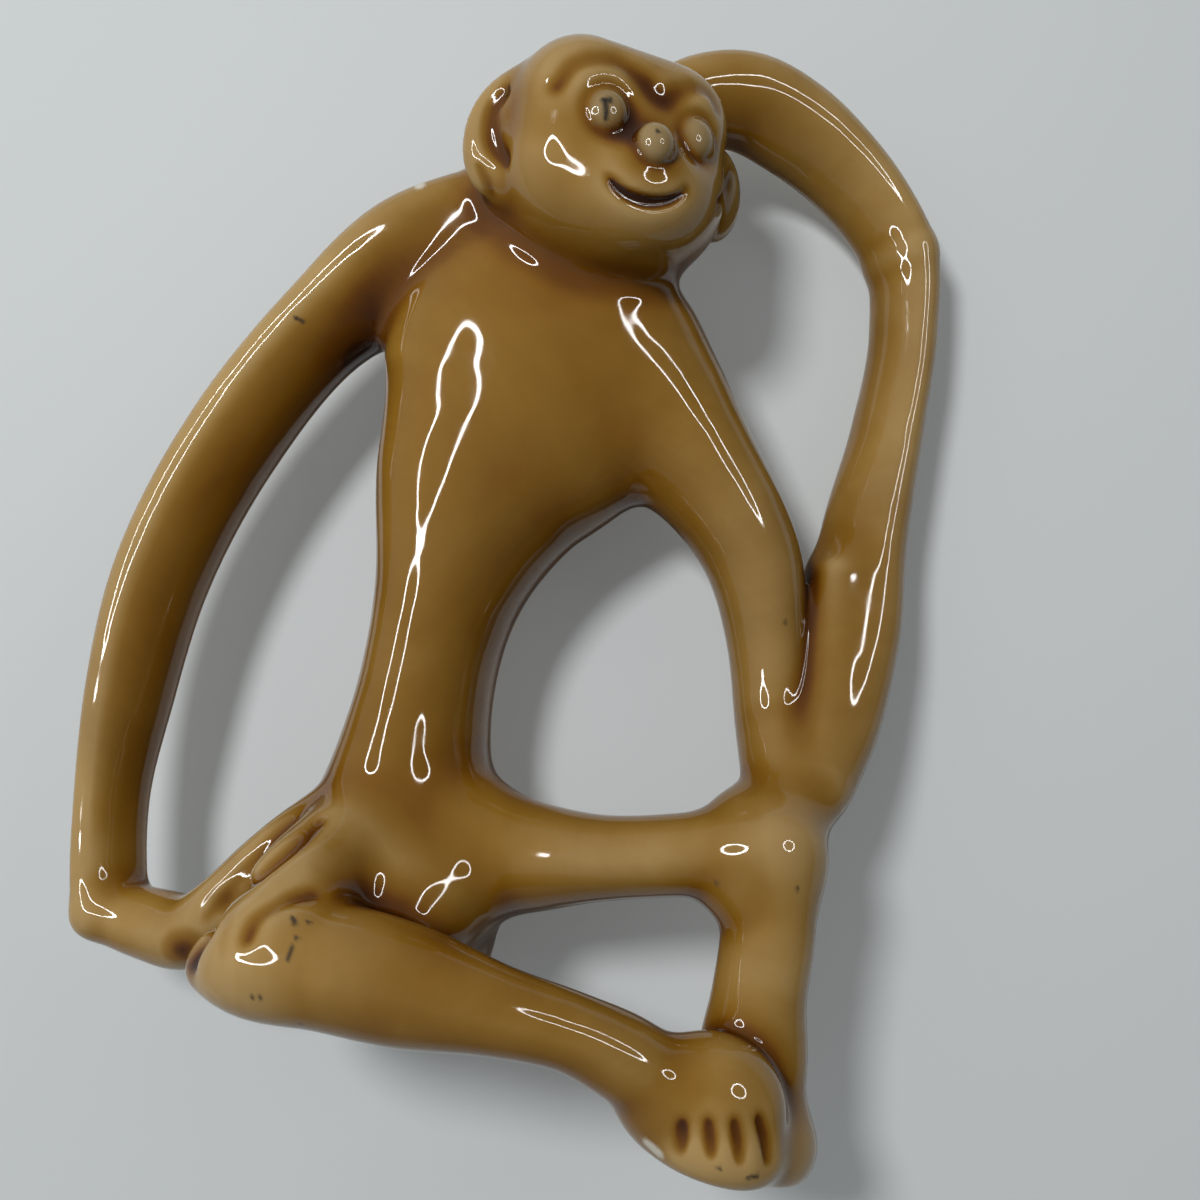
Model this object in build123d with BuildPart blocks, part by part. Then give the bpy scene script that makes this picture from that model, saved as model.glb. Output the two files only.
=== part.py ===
"""Seated monkey figurine in glazed earthenware, sizes in millimetres.

The figure is slip cast in separate moulds, and the casts are luted together with slip before they are fired.
Each cast, and each pellet of clay that is applied to it, is one piece here. The larger casts are hollow, and
small vent holes join their cavities to one hole under the seat. +Z is up, the figure faces -Y, and the origin is
on the ground at the middle of the figure's box. Right and left are the monkey's own.
"""

import os
from math import copysign, cos, radians, sin, tau

from build123d import *

# Overall box that the places below are shares of
figure_width = 148.0
figure_depth = 66.5
figure_height = 200.0

# Cast walls and vents
wall = 3.2
vent_radius = 1.8
seat_vent_radius = 2.5
overrun = 2.0

# Thickest sections of the casts, across the front view and front to back
chest_width = 58.0
chest_depth = 38.0
arm_width = 17.3
arm_depth = 20.0
hand_width = 13.0
hand_depth = 15.0
shoulder_width = 24.5
shoulder_depth = 27.0
forearm_width = 16.5
forearm_depth = 16.5
palm_width = 18.6
palm_depth = 16.5
thigh_width = 25.0
thigh_depth = 27.0
shin_width = 16.4
shin_depth = 16.4
crossed_thigh_width = 20.0
crossed_thigh_depth = 22.0
crossed_shin_width = 21.0
crossed_shin_depth = 20.0

# Head and what is applied to it
head_width = 40.0
head_depth = 41.0
head_height = 43.4
head_wall = 4.0
eye_diameter = 7.4
eye_reach = 17.4
socket_radius = 7.0
socket_reach = 24.4
nose_diameter = 7.0
nose_reach = 20.8
mouth_radius = 1.2
mouth_reach = 23.4
ear_height = 21.0
ear_width = 14.4
ear_thickness = 7.0
ear_reach = 20.5

# How the head is held, and where its features look from its middle, in degrees
HEAD_TURN = 26.0
HEAD_NOD = 7.0
HEAD_TILT = 7.0
EYE_TURN = 27.5
EYE_LIFT = 11.0
NOSE_LIFT = -3.0
MOUTH_CORNER_TURN = 23.0
MOUTH_CORNER_LIFT = -21.0
MOUTH_LIFT = -31.0
EAR_TURN = 94.0
EAR_LIFT = -2.0
EAR_FLARE = 22.0

# Feet
foot_width = 27.6
foot_depth = 20.4
foot_height = 21.6
rear_foot_width = 23.0
rear_foot_depth = 27.0
rear_foot_height = 15.0
toe_groove_radius = 1.0
toe_groove_height = 8.0

# Points of the oval that every section is drawn through, the share of a turn it starts at, which puts the casts'
# seams at the back and those of the feet at the toes, and the power that squares the head's ovals up
OVAL_POINTS = 12
OVAL_START = 0.25
FOOT_START = 0.75
HEAD_SQUARING = 0.8

# Rows of sections: x, y and z as shares of the figure's box, then width and depth as shares of the cast's own
torso_shares = [
    (-0.043, 0.185, 0.000, 0.55, 0.90),
    (-0.043, 0.176, 0.060, 0.67, 1.08),
    (-0.053, 0.176, 0.140, 0.68, 1.08),
    (-0.070, 0.185, 0.220, 0.57, 0.95),
    (-0.084, 0.190, 0.300, 0.48, 0.82),
    (-0.091, 0.195, 0.385, 0.49, 0.82),
    (-0.087, 0.190, 0.490, 0.70, 0.92),
    (-0.064, 0.185, 0.585, 0.98, 1.00),
    (-0.060, 0.174, 0.665, 0.98, 0.97),
    (-0.060, 0.159, 0.732, 0.84, 0.84),
    (-0.043, 0.127, 0.780, 0.45, 0.63),
]
right_arm_shares = [
    (-0.146, 0.159, 0.735, 1.38, 1.20),
    (-0.254, 0.143, 0.688, 1.26, 1.15),
    (-0.341, 0.159, 0.610, 1.02, 1.05),
    (-0.416, 0.174, 0.475, 1.00, 1.00),
    (-0.446, 0.174, 0.333, 0.96, 0.95),
    (-0.441, 0.174, 0.220, 0.84, 0.88),
    (-0.418, 0.159, 0.125, 0.73, 0.80),
    (-0.390, 0.143, 0.055, 0.74, 0.78),
    (-0.362, 0.138, -0.010, 0.58, 0.64),
]
right_hand_shares = [
    (-0.396, 0.132, 0.033, 0.94, 1.00),
    (-0.316, 0.106, 0.033, 1.00, 1.00),
    (-0.258, 0.038, 0.044, 1.00, 0.94),
    (-0.226, -0.010, 0.080, 0.82, 0.75),
    (-0.199, -0.015, 0.122, 0.66, 0.60),
    (-0.168, 0.006, 0.162, 0.54, 0.50),
    (-0.131, 0.048, 0.190, 0.46, 0.44),
]
left_upper_arm_shares = [
    (0.014, 0.174, 0.670, 1.06, 1.04),
    (0.084, 0.174, 0.632, 1.00, 1.00),
    (0.176, 0.190, 0.575, 0.86, 0.89),
    (0.271, 0.217, 0.506, 0.73, 0.78),
    (0.318, 0.232, 0.435, 0.62, 0.67),
    (0.352, 0.232, 0.365, 0.58, 0.63),
    (0.386, 0.185, 0.300, 0.56, 0.61),
    (0.400, 0.101, 0.250, 0.50, 0.55),
]
left_forearm_shares = [
    (0.414, 0.185, 0.262, 0.74, 0.90),
    (0.442, 0.248, 0.310, 0.79, 0.91),
    (0.449, 0.280, 0.365, 0.82, 0.91),
    (0.430, 0.306, 0.460, 0.99, 0.97),
    (0.411, 0.338, 0.560, 1.00, 1.00),
    (0.404, 0.353, 0.675, 0.81, 0.94),
    (0.390, 0.353, 0.780, 0.76, 0.91),
    (0.377, 0.353, 0.828, 0.82, 0.92),
    (0.362, 0.353, 0.850, 0.88, 0.92),
]
left_hand_shares = [
    (0.362, 0.353, 0.850, 0.78, 0.92),
    (0.347, 0.353, 0.872, 0.83, 0.93),
    (0.308, 0.346, 0.890, 0.90, 0.94),
    (0.241, 0.317, 0.924, 0.96, 0.97),
    (0.169, 0.268, 0.939, 1.02, 1.00),
    (0.099, 0.217, 0.943, 1.04, 1.00),
    (0.044, 0.174, 0.923, 0.95, 0.97),
    (-0.006, 0.135, 0.892, 0.76, 0.85),
]
left_thigh_shares = [
    (-0.064, 0.159, 0.160, 1.04, 1.04),
    (0.018, 0.111, 0.175, 1.00, 1.00),
    (0.092, 0.069, 0.185, 0.82, 0.85),
    (0.184, 0.006, 0.205, 0.60, 0.68),
    (0.274, -0.020, 0.228, 0.58, 0.63),
    (0.349, -0.036, 0.248, 0.66, 0.63),
    (0.396, -0.043, 0.259, 0.58, 0.57),
    (0.416, -0.047, 0.264, 0.36, 0.36),
    (0.423, -0.047, 0.266, 0.12, 0.12),
]
left_shin_shares = [
    (0.382, -0.038, 0.260, 0.85, 0.85),
    (0.386, -0.045, 0.225, 1.00, 1.00),
    (0.396, -0.052, 0.180, 1.00, 0.98),
    (0.404, -0.052, 0.130, 0.95, 0.98),
    (0.414, -0.047, 0.085, 0.93, 1.00),
    (0.422, -0.052, 0.045, 0.90, 1.05),
]
right_thigh_shares = [
    (-0.046, 0.101, 0.150, 1.00, 1.05),
    (-0.091, -0.020, 0.143, 1.00, 1.04),
    (-0.121, -0.183, 0.115, 1.00, 0.95),
    (-0.126, -0.289, 0.085, 0.80, 0.80),
]
right_shin_shares = [
    (-0.220, -0.215, 0.028, 0.24, 0.38),
    (-0.193, -0.257, 0.045, 0.60, 0.70),
    (-0.146, -0.312, 0.062, 0.92, 0.95),
    (-0.066, -0.335, 0.075, 1.00, 1.02),
    (0.014, -0.340, 0.079, 0.93, 0.97),
    (0.122, -0.338, 0.083, 0.66, 0.75),
    (0.201, -0.301, 0.080, 0.59, 0.71),
    (0.272, -0.263, 0.068, 0.65, 0.77),
    (0.310, -0.241, 0.058, 0.64, 0.78),
]

# Rows of the head: height as a share of the head's, then width, depth and forward shift as shares of the head's
head_shares = [
    (-0.490, 0.22, 0.22, 0.03),
    (-0.449, 0.50, 0.49, 0.03),
    (-0.357, 0.79, 0.79, 0.035),
    (-0.207, 0.97, 0.965, 0.04),
    (-0.046, 1.00, 0.98, 0.01),
    (0.138, 0.96, 0.89, -0.035),
    (0.276, 0.92, 0.85, -0.037),
    (0.392, 0.79, 0.725, -0.037),
    (0.461, 0.605, 0.54, -0.037),
    (0.500, 0.32, 0.26, -0.037),
]
head_place_shares = (-0.0345, -0.030, 0.807)

# Rows of the feet: height as a share of the foot's, then width and depth as shares of the foot's
foot_shares = [
    (0.000, 0.58, 0.62),
    (0.095, 0.78, 0.83),
    (0.235, 0.98, 0.98),
    (0.400, 1.00, 1.00),
    (0.560, 0.96, 0.98),
    (0.750, 0.77, 0.85),
    (0.890, 0.55, 0.61),
    (0.980, 0.24, 0.27),
]
foot_place_shares = (0.365, -0.232, 0.000)
rear_foot_place_shares = (0.424, -0.073, 0.000)
toe_groove_shares = (-0.30, -0.10, 0.10, 0.30)

# Rows of an ear from back to front, and of its dish: share of the ear's thickness, then of its width and height
ear_shares = [
    (-0.50, 0.50, 0.60),
    (-0.30, 0.88, 0.91),
    (0.00, 1.00, 1.00),
    (0.30, 0.93, 0.95),
    (0.50, 0.72, 0.80),
]
dish_shares = [
    (0.10, 0.20, 0.25),
    (0.30, 0.46, 0.54),
    (0.60, 0.66, 0.74),
]


def place(x_share, y_share, z_share):
    """A point of the figure's box."""
    return Vector(x_share * figure_width, y_share * figure_depth, z_share * figure_height)


def oval(plane, half_width, half_depth, squaring=1.0, start=OVAL_START):
    """One closed oval section, drawn from the same point in every section so that lofts don't twist."""
    turns = [tau * (start + i / OVAL_POINTS) for i in range(OVAL_POINTS)]
    sides = [[copysign(abs(side(a)) ** squaring, side(a)) for side in (cos, sin)] for a in turns]
    with BuildSketch(plane) as section:
        with BuildLine():
            Spline([(half_width * u, half_depth * v) for u, v in sides], periodic=True)
        make_face()
    return section.sketch


def section_planes(points, facing):
    """A plane square to the path at each point, with its X across the cast as seen along facing."""
    planes = []
    for before, here, after in zip([points[0], *points], points, [*points[1:], points[-1]]):
        along = (after - before).normalized()
        planes.append(Plane(origin=here, x_dir=facing.direction.cross(along), z_dir=along))
    return planes


def limb(rows, width, depth, inset=0.0, facing=Axis.Y, mode=Mode.ADD):
    """Lofts a cast through its rows of sections, in the active part. inset thins it all round, for a cavity."""
    planes = section_planes([place(*row[:3]) for row in rows], facing)
    half_sizes = [(width * row[3] / 2 - inset, depth * row[4] / 2 - inset) for row in rows]
    loft([oval(plane, *halves) for plane, halves in zip(planes, half_sizes)], mode=mode)


def form(rows, width, depth, facing=Axis.Y):
    """The plain outer form of a limb, that other casts are trimmed to, flat where it meets the ground."""
    with BuildPart() as outer:
        limb(rows, width, depth, facing=facing)
        with BuildSketch(Plane.XY) as ground:
            Rectangle(figure_width * 2, figure_depth * 2)
        extrude(ground.sketch, amount=-figure_height / 2, mode=Mode.SUBTRACT)
    return outer.part


def head_form_part(inset=0.0, rows=None):
    """The head's rounded form, in its own leaning plane."""
    with BuildPart() as outer:
        sections = []
        for height, width, depth, forward in rows or head_shares:
            origin = head_plane.from_local_coords((0, -forward * head_depth, height * head_height))
            plane = Plane(origin=origin, x_dir=head_plane.x_dir, z_dir=head_plane.z_dir)
            half_width, half_depth = width * head_width / 2 - inset, depth * head_depth / 2 - inset
            sections.append(oval(plane, half_width, half_depth, HEAD_SQUARING))
        loft(sections)
    return outer.part


def looking(turn, lift, reach):
    """The point that lies so far from the head's middle, turned from straight ahead and lifted, in degrees."""
    level = reach * cos(radians(lift))
    local = (level * sin(radians(turn)), -level * cos(radians(turn)), reach * sin(radians(lift)))
    return head_plane.from_local_coords(local)


def foot_form(rows, spot, width, depth, height):
    """A domed foot on the ground."""
    with BuildPart() as outer:
        plane = Plane(origin=place(*spot))
        half_sizes = [(w * width / 2, d * depth / 2) for _, w, d in rows]
        planes = [plane.offset(row[0] * height) for row in rows]
        loft([oval(level, *halves, start=FOOT_START) for level, halves in zip(planes, half_sizes)])
    return outer.part


def vent(rows):
    """A vent through the wall of the active part, along the start of a limb's path."""
    start, end = place(*rows[0][:3]), place(*rows[1][:3])
    with BuildSketch(Plane(origin=start, z_dir=(end - start).normalized())) as bore:
        Circle(vent_radius)
    extrude(bore.sketch, amount=(end - start).length + overrun, mode=Mode.SUBTRACT)


def trim(*neighbours):
    """Trims the active part to the forms of the casts that it is luted to."""
    for neighbour in neighbours:
        add(neighbour, mode=Mode.SUBTRACT)


def finish(piece, name):
    """Labels a finished piece and writes its file."""
    piece.part.label = name
    export_step(piece.part, f"parts/{name}.step")


os.makedirs("parts", exist_ok=True)
head_plane = Plane(Location(place(*head_place_shares), (HEAD_NOD, -HEAD_TILT, HEAD_TURN)))

# Outer forms that neighbouring casts are trimmed to
torso_form = form(torso_shares, chest_width, chest_depth)
right_arm_form = form(right_arm_shares, arm_width, arm_depth)
left_upper_arm_form = form(left_upper_arm_shares, shoulder_width, shoulder_depth)
left_thigh_form = form(left_thigh_shares, thigh_width, thigh_depth)
left_shin_form = form(left_shin_shares, shin_width, shin_depth)
right_thigh_form = form(right_thigh_shares, crossed_thigh_width, crossed_thigh_depth, Axis.Z)
right_shin_form = form(right_shin_shares, crossed_shin_width, crossed_shin_depth)
left_forearm_form = form(left_forearm_shares, forearm_width, forearm_depth)
right_foot_form = foot_form(foot_shares, foot_place_shares, foot_width, foot_depth, foot_height)

# The head's form has a shallow socket behind each eye
with BuildPart() as socketed_head:
    add(head_form_part())
    for side in (-1, 1):
        with Locations(looking(side * EYE_TURN, EYE_LIFT, socket_reach)):
            Sphere(socket_radius, mode=Mode.SUBTRACT)
head_form = socketed_head.part

# Torso: the main cast, hollow, standing on the flat of its seat
with BuildPart() as torso:
    add(torso_form)
    floor_row = (*torso_shares[0][:2], wall / figure_height, *torso_shares[0][3:])
    limb([floor_row, *torso_shares[1:-1]], chest_width, chest_depth, wall, mode=Mode.SUBTRACT)
    for limb_shares in (right_arm_shares, left_upper_arm_shares, left_thigh_shares, right_thigh_shares):
        vent(limb_shares)
    vent(torso_shares[-2:])
    with BuildSketch(Plane(origin=place(*torso_shares[0][:3]))):
        Circle(seat_vent_radius)
    extrude(amount=wall + overrun, mode=Mode.SUBTRACT)
finish(torso, "torso")

# Head: a hollow cast that sits over the neck, with the smile pressed into it
with BuildPart() as head:
    add(head_form)
    add(head_form_part(head_wall, head_shares[2:-2]), mode=Mode.SUBTRACT)
    trim(torso_form)
    with BuildLine() as smile:
        ThreePointArc(
            looking(-MOUTH_CORNER_TURN, MOUTH_CORNER_LIFT, mouth_reach),
            looking(0, MOUTH_LIFT, mouth_reach),
            looking(MOUTH_CORNER_TURN, MOUTH_CORNER_LIFT, mouth_reach),
        )
    with BuildSketch(Plane(origin=smile.line @ 0, z_dir=smile.line % 0)):
        Circle(mouth_radius)
    sweep(path=smile.line, mode=Mode.SUBTRACT)
finish(head, "head")

# Eyes and nose: pellets pressed on the face
for side, name in ((-1, "right_eye"), (1, "left_eye")):
    with BuildPart() as eye:
        with Locations(looking(side * EYE_TURN, EYE_LIFT, eye_reach)):
            Sphere(eye_diameter / 2)
        trim(head_form)
    finish(eye, name)
with BuildPart() as nose:
    with Locations(looking(0, NOSE_LIFT, nose_reach)):
        Sphere(nose_diameter / 2)
    trim(head_form)
finish(nose, "nose")

# Ears: dished discs that stand out at the sides of the head
for side, name in ((-1, "right_ear"), (1, "left_ear")):
    with BuildPart() as ear:
        facing = head_plane.from_local_coords((side * sin(radians(EAR_FLARE)), -cos(radians(EAR_FLARE)), 0))
        ear_plane = Plane(
            origin=looking(side * EAR_TURN, EAR_LIFT, ear_reach),
            x_dir=head_plane.z_dir.cross(facing - head_plane.origin),
            z_dir=facing - head_plane.origin,
        )
        for rows, mode in ((ear_shares, Mode.ADD), (dish_shares, Mode.SUBTRACT)):
            sections = []
            for front, width, height in rows:
                plane = ear_plane.offset(front * ear_thickness)
                sections.append(oval(plane, width * ear_width / 2, height * ear_height / 2))
            loft(sections, mode=mode)
        trim(head_form, torso_form)
    finish(ear, name)

# Right arm: one long hollow cast from the shoulder down to the wrist on the ground
with BuildPart() as right_arm:
    add(right_arm_form)
    trim(torso_form, head_form)
    limb(right_arm_shares[:-1], arm_width, arm_depth, wall, mode=Mode.SUBTRACT)
finish(right_arm, "right_arm")

# Right shin: the crossed leg from its knee to its ankle, lying on the ground
with BuildPart() as right_shin:
    add(right_shin_form)
    limb(right_shin_shares[2:-1], crossed_shin_width, crossed_shin_depth, wall, mode=Mode.SUBTRACT)
    vent(right_thigh_shares[:-3:-1])
finish(right_shin, "right_shin")

# Right thigh: the short cast from the seat to the knee of the crossed leg
with BuildPart() as right_thigh:
    add(right_thigh_form)
    trim(torso_form, right_shin_form)
    limb(right_thigh_shares, crossed_thigh_width, crossed_thigh_depth, wall, Axis.Z, Mode.SUBTRACT)
finish(right_thigh, "right_thigh")

# Right hand: solid, on the ground, with the fingers laid up against the thigh
with BuildPart() as right_hand:
    add(form(right_hand_shares, hand_width, hand_depth))
    trim(right_arm_form, torso_form, right_thigh_form, right_shin_form)
finish(right_hand, "right_hand")

# Right foot: solid, at the end of the crossed shin, its toes parted by grooves
with BuildPart() as right_foot:
    add(right_foot_form)
    trim(right_shin_form, left_shin_form)
    toe_edge = place(*foot_place_shares) - Vector(0, foot_depth / 2, 0)
    for share in toe_groove_shares:
        with Locations(toe_edge + Vector(share * foot_width, foot_depth * share * share / 2, 0)):
            Cylinder(toe_groove_radius, toe_groove_height * 2, mode=Mode.SUBTRACT)
finish(right_foot, "right_foot")

# Left thigh: hollow, from the seat up to the raised knee
with BuildPart() as left_thigh:
    add(left_thigh_form)
    trim(torso_form, right_thigh_form)
    limb(left_thigh_shares[:-2], thigh_width, thigh_depth, wall, mode=Mode.SUBTRACT)
finish(left_thigh, "left_thigh")

# Left shin: solid, from under the knee down to the foot
with BuildPart() as left_shin:
    add(left_shin_form)
    trim(left_thigh_form)
finish(left_shin, "left_shin")

# Left foot: solid, behind the right foot
with BuildPart() as left_foot:
    add(foot_form(foot_shares, rear_foot_place_shares, rear_foot_width, rear_foot_depth, rear_foot_height))
    trim(left_shin_form, right_foot_form, right_shin_form)
finish(left_foot, "left_foot")

# Left upper arm: hollow, from the shoulder down to the elbow on the knee
with BuildPart() as left_upper_arm:
    add(left_upper_arm_form)
    trim(torso_form, left_thigh_form, left_shin_form)
    limb(left_upper_arm_shares[:-1], shoulder_width, shoulder_depth, wall, mode=Mode.SUBTRACT)
finish(left_upper_arm, "left_upper_arm")

# Left forearm: solid, from the elbow straight up to the wrist
with BuildPart() as left_forearm:
    add(left_forearm_form)
    trim(left_upper_arm_form, left_thigh_form, left_shin_form)
finish(left_forearm, "left_forearm")

# Left hand: solid, bent over to the back of the head
with BuildPart() as left_hand:
    add(form(left_hand_shares, palm_width, palm_depth))
    trim(head_form)
finish(left_hand, "left_hand")
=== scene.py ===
"""Seated monkey figurine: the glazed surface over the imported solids.

The casts are modelled as distance fields in millimetres, blended as wet slip blends them, meshed once and
parted at their seams, so that each piece stands for one CAD node and the glaze runs on without a break. What
is small is drawn on the picture that the camera takes, and carried from there onto the skin.
"""

from math import cos, radians, sin

import bpy
import numpy as np
import openvdb
from mathutils import Matrix, Vector


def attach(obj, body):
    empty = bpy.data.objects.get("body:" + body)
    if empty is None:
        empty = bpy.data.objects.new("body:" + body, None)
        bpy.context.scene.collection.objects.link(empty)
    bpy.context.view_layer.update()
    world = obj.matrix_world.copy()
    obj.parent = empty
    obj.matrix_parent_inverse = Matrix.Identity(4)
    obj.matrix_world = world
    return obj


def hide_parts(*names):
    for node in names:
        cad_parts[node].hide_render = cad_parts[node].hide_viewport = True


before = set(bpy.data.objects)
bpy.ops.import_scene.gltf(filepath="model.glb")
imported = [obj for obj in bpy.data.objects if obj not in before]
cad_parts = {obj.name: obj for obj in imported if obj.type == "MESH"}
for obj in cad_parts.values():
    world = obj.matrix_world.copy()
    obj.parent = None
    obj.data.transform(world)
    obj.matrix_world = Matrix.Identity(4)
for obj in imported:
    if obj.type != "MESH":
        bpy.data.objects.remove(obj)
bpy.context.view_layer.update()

# Grid, in millimetres
MM = 0.001  # metres
VOXEL = 0.6
LOW = np.array([-79.0, -38.0, -4.0])
HIGH = np.array([79.0, 38.0, 203.0])
REACH = 8.0  # how far around a form its field is worked out
FAR = 30.0  # the distance where no form reaches
LIMB_STEP = 1.7  # between points along a limb
GROOVE_STEP = 0.8  # between points along a groove
INSET = 1.01  # voxels kept free at the grid's far end
TINY = 1e-9  # keeps a division by a length of nothing defined
CORE = 1e-4  # keeps the distance defined in the very middle of a ball

NAMES = [
    "torso", "head", "right_ear", "left_ear", "right_eye", "left_eye", "nose", "right_arm", "right_hand",
    "left_upper_arm", "left_forearm", "left_hand", "right_thigh", "right_shin", "right_foot", "left_thigh",
    "left_shin", "left_foot",
]
PELLETS = ("right_eye", "left_eye", "nose")

# Sections of the casts: x, y, z, half width and half depth
ROWS = {
    "torso": [
        (-6.4, 12.3, -2.0, 15.0, 16.0),
        (-6.4, 12.3, 12.0, 19.4, 20.0),
        (-7.6, 12.3, 28.0, 19.2, 20.5),
        (-10.0, 12.3, 44.0, 14.8, 18.1),
        (-12.0, 12.6, 60.0, 12.3, 15.6),
        (-13.3, 13.0, 77.0, 13.2, 15.6),
        (-12.9, 12.6, 98.0, 20.3, 17.5),
        (-9.5, 12.3, 117.0, 28.2, 19.0),
        (-8.9, 11.6, 133.0, 28.0, 18.4),
        (-8.4, 10.6, 146.0, 22.5, 16.0),
        (-6.4, 8.4, 155.0, 13.1, 12.0),
    ],
    "right_arm": [
        (-21.6, 10.6, 148.4, 11.9, 12.0),
        (-37.5, 9.5, 138.8, 10.3, 10.8),
        (-49.8, 10.6, 122.0, 8.1, 9.6),
        (-61.0, 11.6, 95.0, 7.9, 9.2),
        (-66.0, 11.6, 66.6, 7.6, 8.8),
        (-64.9, 11.6, 44.0, 6.7, 8.1),
        (-61.8, 10.6, 25.0, 5.4, 7.0),
        (-57.7, 9.5, 12.0, 5.5, 6.8),
        (-55.4, 9.2, 6.4, 5.6, 6.8),
    ],
    "right_hand": [
        (-55.4, 8.8, 6.4, 5.6, 7.0),
        (-46.8, 7.0, 6.6, 6.4, 7.4),
        (-38.2, 2.5, 8.8, 6.5, 7.0),
        (-33.4, -0.7, 16.0, 5.3, 5.6),
        (-29.5, -1.0, 24.4, 4.3, 4.5),
        (-24.9, 0.4, 32.4, 3.5, 3.8),
        (-19.4, 3.2, 38.0, 3.0, 3.3),
    ],
    "left_upper_arm": [
        (2.1, 11.6, 134.0, 13.0, 14.0),
        (12.4, 11.6, 126.8, 13.0, 13.5),
        (26.2, 12.6, 115.3, 11.1, 12.0),
        (40.3, 14.4, 101.2, 9.2, 10.5),
        (47.1, 15.4, 87.0, 7.6, 9.0),
        (52.0, 14.4, 73.0, 7.2, 8.5),
        (56.4, 5.4, 60.0, 7.5, 8.2),
        (57.8, -1.6, 50.4, 7.0, 8.0),
    ],
    "left_forearm": [
        (56.8, 3.0, 54.4, 6.0, 7.4),
        (60.8, 9.4, 63.0, 6.4, 7.6),
        (63.8, 14.2, 74.0, 6.9, 7.6),
        (63.6, 18.8, 92.0, 8.2, 8.0),
        (60.8, 22.5, 112.0, 8.2, 8.2),
        (59.8, 23.5, 135.0, 6.7, 7.8),
        (57.7, 23.5, 156.0, 6.3, 7.5),
        (53.4, 23.5, 170.0, 6.8, 7.6),
    ],
    "left_hand": [
        (45.6, 23.0, 178.3, 7.3, 7.8),
        (35.7, 21.0, 184.3, 8.0, 8.0),
        (25.0, 17.8, 187.8, 8.8, 8.2),
        (14.7, 14.4, 188.4, 8.7, 8.2),
        (6.5, 11.6, 184.8, 7.9, 8.0),
        (-0.9, 9.0, 178.6, 6.4, 7.0),
    ],
    "left_thigh": [
        (-9.5, 10.6, 32.0, 13.0, 14.0),
        (2.7, 7.4, 35.0, 12.5, 13.5),
        (13.6, 4.6, 37.0, 10.2, 11.5),
        (27.2, 0.4, 41.0, 7.5, 9.2),
        (40.6, -1.3, 45.6, 7.2, 8.5),
        (50.1, -2.4, 49.0, 7.8, 8.4),
        (53.2, -2.7, 50.2, 7.3, 8.0),
    ],
    "left_shin": [
        (54.8, -2.6, 49.4, 7.3, 7.8),
        (56.6, -3.0, 45.0, 8.0, 8.1),
        (58.6, -3.5, 36.0, 8.1, 8.0),
        (59.8, -3.5, 26.0, 8.2, 8.0),
        (61.3, -3.1, 17.0, 9.4, 8.2),
        (62.5, -3.5, 9.0, 9.6, 8.6),
    ],
    "right_thigh": [
        (-6.8, 6.7, 30.0, 10.0, 11.6),
        (-13.5, -1.3, 28.6, 10.0, 11.4),
        (-17.9, -12.2, 23.0, 10.0, 10.4),
        (-18.6, -19.2, 17.0, 9.0, 9.4),
    ],
    "right_shin": [
        (-26.6, -17.1, 10.4, 5.4, 7.0),
        (-21.6, -20.3, 12.9, 8.7, 9.5),
        (-9.8, -21.7, 15.5, 9.8, 10.2),
        (2.1, -22.0, 16.1, 9.5, 9.7),
        (18.1, -22.3, 16.5, 6.9, 7.5),
        (29.8, -20.0, 16.0, 6.2, 7.1),
        (40.2, -17.5, 13.6, 6.9, 7.7),
        (45.8, -16.0, 11.6, 6.8, 7.8),
    ],
}
# The web of slip that closes the crease between the left upper arm and forearm
ELBOW_WEB = [
    (55.6, 19.0, 103.0, 2.6, 6.0),
    (57.4, 17.6, 90.0, 5.0, 7.2),
    (59.6, 14.8, 77.0, 6.0, 7.8),
    (59.0, 8.8, 64.0, 5.6, 8.0),
]
ELBOW_WEB_BLEND = 9.0

# Limbs: which way their depth is measured, how far their ends bulge by their radius, and how far across their
# front ridge lies
BACKWARD, UPWARD, ALMOST_BACKWARD = (0, 1, 0), (0, 0, 1), (0.1, 1, 0.1)
ROUND_END, SEAT_END, GROOVE_END = 0.9, 0.3, 1.0
LEAN = {"torso": -0.15, "right_arm": 0.38, "left_forearm": 0.25, "left_hand": 0.25}

# How far a cast's surface runs over into the ones made before it
BLEND = {
    "torso": 1.0, "right_arm": 6.0, "left_upper_arm": 8.0, "head": 5.0, "left_thigh": 8.0, "right_thigh": 6.0,
    "right_shin": 3.5, "right_hand": 3.0, "left_shin": 6.0, "right_foot": 3.0, "left_foot": 3.0,
    "left_forearm": 2.4, "left_hand": 1.8, "right_ear": 4.0, "left_ear": 2.2,
    "right_eye": 0.6, "left_eye": 0.6, "nose": 0.6,
}

# Rounded forms: centre and half sizes
LAP, LAP_BLEND = ((-2.0, -1.0, 25.0), (12.0, 12.0, 10.0)), 7.0
KNEE_TOP, KNEE_TOP_BLEND = ((49.2, 3.0, 54.4), (3.6, 5.0, 3.6)), 7.0
KNEE_FOLD, KNEE_FOLD_BLEND = ((50.6, -2.6, 43.4), (4.4, 6.0, 4.4)), 5.0
LEFT_FOOT = (63.4, -4.8, 4.5), (12.0, 13.6, 9.2)
RIGHT_INSTEP = (54.6, -15.0, 9.8), (12.4, 10.2, 11.6)
RIGHT_TOES = (57.4, -17.0, 5.2), (10.4, 8.6, 6.6)
RIGHT_ANKLE = (46.6, -14.6, 8.6), (7.4, 8.0, 7.0)
RIGHT_FOOT_BLEND = 3.0

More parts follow.
